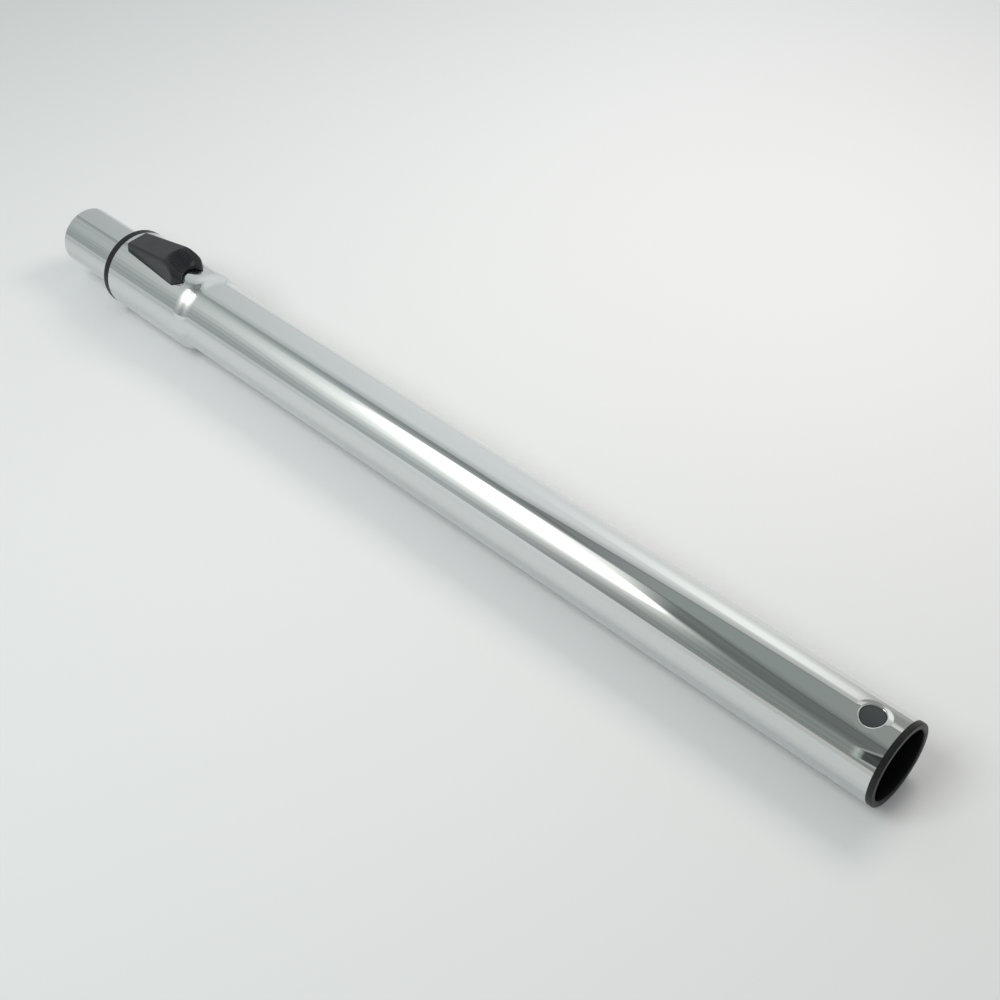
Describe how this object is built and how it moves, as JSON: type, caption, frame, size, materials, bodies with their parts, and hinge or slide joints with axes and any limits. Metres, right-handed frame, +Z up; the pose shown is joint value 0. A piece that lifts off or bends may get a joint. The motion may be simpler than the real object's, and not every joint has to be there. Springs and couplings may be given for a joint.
{
  "type": "telescopic vacuum wand",
  "caption": "Chromed telescopic vacuum wand: outer tube with swaged collar, sliding inner tube, black thumb slider lock, black socket liner.",
  "frame": {"origin": "centre of the tool socket's mouth", "axes": "+X along the wand towards the handle end, +Z up through the thumb slider, +Y completes the right-handed set"},
  "size_m": [0.5314, 0.0425, 0.0506],
  "materials": {
    "outer_chrome": "polished chromium plate on steel",
    "inner_chrome": "polished chromium plate on steel",
    "black_plastic": "moulded, satin",
    "button_plastic": "moulded, fine spark texture",
    "carriage_plastic": "moulded",
    "guide_plastic": "moulded, self-lubricating",
    "hard_steel": "ground",
    "spring_steel": "drawn wire",
    "felt": "pressed felt"
  },
  "bodies": {
    "outer": {"outer_tube": "outer_chrome", "end_sleeve": "black_plastic", "guide_bush": "black_plastic", "front_seal": "felt", "return_spring_left": "spring_steel", "return_spring_right": "spring_steel"},
    "slider": {"slide_button": "button_plastic", "lock_carriage": "carriage_plastic"},
    "roller": {"lock_roller": "hard_steel"},
    "inner": {"inner_tube": "inner_chrome", "rear_guide_left": "guide_plastic", "rear_guide_right": "guide_plastic", "rear_seal": "felt"}
  },
  "joints": [
    {"name": "telescope", "type": "slide", "parent": "outer", "child": "inner", "axis": [1, 0, 0], "range_m": [0, 0.351]},
    {"name": "slider_travel", "type": "slide", "parent": "outer", "child": "slider", "axis": [1, 0, 0], "range_m": [0, 0.004], "stiffness_N_per_m": 1500, "springref_m": -0.0015, "deforming": ["return_spring_left", "return_spring_right"]},
    {"name": "roller_lift", "type": "slide", "parent": "outer", "child": "roller", "axis": [0, 0, 1], "range_m": [0, 0.0013]}
  ],
  "couplings": [
    {"joint": "roller_lift", "follows": "slider_travel", "ratio": 0.325}
  ]
}
